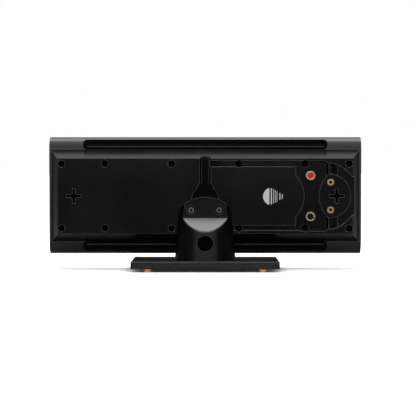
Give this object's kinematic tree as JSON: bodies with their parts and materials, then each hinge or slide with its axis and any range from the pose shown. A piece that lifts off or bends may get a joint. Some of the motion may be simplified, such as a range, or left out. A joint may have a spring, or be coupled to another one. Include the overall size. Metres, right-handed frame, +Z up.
{
  "type": "on-wall speaker",
  "caption": "Wide flat passive speaker on a short table stand, with a tapered rear cover, cable grooves, keyholes, binding posts and a removable stand.",
  "frame": {"origin": "on the table under the middle of the base plate", "axes": "+X along the speaker's width, front towards -Y, back with the terminals towards +Y, +Z up"},
  "size_m": [0.432, 0.12, 0.1825],
  "materials": {
    "cabinet_plastic": "fine-grained black moulded plastic",
    "cover_plastic": "smooth satin black moulded plastic",
    "gasket_foam": "closed-cell foam",
    "dark_screws": "black oxide steel",
    "grille_plastic": "black moulded frame",
    "grille_cloth": "tight black knit",
    "basket_steel": "black painted pressed steel",
    "surround_rubber": "soft butyl rubber",
    "cone_paper": "coated paper",
    "cap_paper": "coated paper",
    "copper": "lacquered copper wire",
    "spider_cloth": "resin-dipped corrugated cloth",
    "plate_steel": "zinc-plated steel",
    "ferrite": "ground ferrite",
    "horn_plastic": "black moulded horn",
    "dome_metal": "thin drawn aluminium",
    "board": "green lacquered board",
    "capacitor_film": "wrapped film capacitors",
    "bright_screws": "bright plated steel",
    "wadding": "white polyester wadding",
    "terminal_plastic": "black moulded insert",
    "post_brass": "gold-plated brass",
    "knob_gold": "pale gold-plated brass",
    "red_plastic": "red plastic",
    "black_plastic": "black plastic",
    "insert_brass": "turned brass",
    "neck_plastic": "satin black plastic",
    "silver_plate": "finely brushed aluminium, blank",
    "base_steel": "black painted steel plate",
    "foot_rubber": "copper-coloured rubber"
  },
  "bodies": {
    "speaker": {"front_cabinet": "cabinet_plastic", "rear_cover": "cover_plastic", "cover_gasket": "gasket_foam", "cover_screws": "dark_screws", "grille_frame": "grille_plastic", "grille_cloth": "grille_cloth", "woofer_screws": "dark_screws", "tweeter_horn": "horn_plastic", "tweeter_dome": "dome_metal", "tweeter_coil": "copper", "tweeter_front_plate": "plate_steel", "tweeter_magnet": "ferrite", "tweeter_pole_plate": "plate_steel", "tweeter_screws": "dark_screws", "crossover_board": "board", "crossover_coils": "copper", "crossover_capacitors": "capacitor_film", "crossover_screws": "bright_screws", "damping_pads": "wadding", "terminal_plate": "terminal_plastic", "terminal_gasket": "gasket_foam", "red_post_stud": "post_brass", "black_post_stud": "post_brass", "post_nuts": "post_brass", "side_inserts": "insert_brass", "stand_inserts": "insert_brass", "stand_neck": "neck_plastic", "neck_plate": "silver_plate", "neck_screws": "bright_screws", "stand_base": "base_steel", "base_screws": "bright_screws", "base_feet": "foot_rubber", "left_woofer_basket": "basket_steel", "left_woofer_surround": "surround_rubber", "left_spider": "spider_cloth", "left_front_plate": "plate_steel", "left_magnet": "ferrite", "left_pole_plate": "plate_steel", "right_woofer_basket": "basket_steel", "right_woofer_surround": "surround_rubber", "right_spider": "spider_cloth", "right_front_plate": "plate_steel", "right_magnet": "ferrite", "right_pole_plate": "plate_steel"},
    "left_cone": {"left_woofer_cone": "cone_paper", "left_dust_cap": "cap_paper", "left_voice_coil": "copper"},
    "right_cone": {"right_woofer_cone": "cone_paper", "right_dust_cap": "cap_paper", "right_voice_coil": "copper"},
    "red_cap": {"red_post_cap": "red_plastic"},
    "red_knob": {"red_post_knob": "knob_gold"},
    "black_cap": {"black_post_cap": "black_plastic"},
    "black_knob": {"black_post_knob": "knob_gold"}
  },
  "joints": [
    {"name": "left_cone_slide", "type": "slide", "parent": "speaker", "child": "left_cone", "axis": [0, 1, 0], "range_m": [-0.003, 0.003], "stiffness_N_per_m": 900, "deforming": ["left_woofer_surround", "left_spider"]},
    {"name": "right_cone_slide", "type": "slide", "parent": "speaker", "child": "right_cone", "axis": [0, 1, 0], "range_m": [-0.003, 0.003], "stiffness_N_per_m": 900, "deforming": ["right_woofer_surround", "right_spider"]},
    {"name": "red_post_travel", "type": "slide", "parent": "speaker", "child": "red_cap", "axis": [0, 1, 0], "range_m": [0, 0.004]},
    {"name": "red_knob_spin", "type": "hinge", "parent": "red_cap", "child": "red_knob", "pos_m": [-0.1437, 0.011, 0.1295], "axis": [0, 1, 0], "range_deg": [0, 1800]},
    {"name": "black_post_travel", "type": "slide", "parent": "speaker", "child": "black_cap", "axis": [0, 1, 0], "range_m": [0, 0.004]},
    {"name": "black_knob_spin", "type": "hinge", "parent": "black_cap", "child": "black_knob", "pos_m": [-0.1437, 0.011, 0.0735], "axis": [0, 1, 0], "range_deg": [0, 1800]}
  ],
  "couplings": [
    {"joint": "red_knob_spin", "follows": "red_post_travel", "rad_per_m": 7853.9},
    {"joint": "black_knob_spin", "follows": "black_post_travel", "rad_per_m": 7853.9}
  ]
}
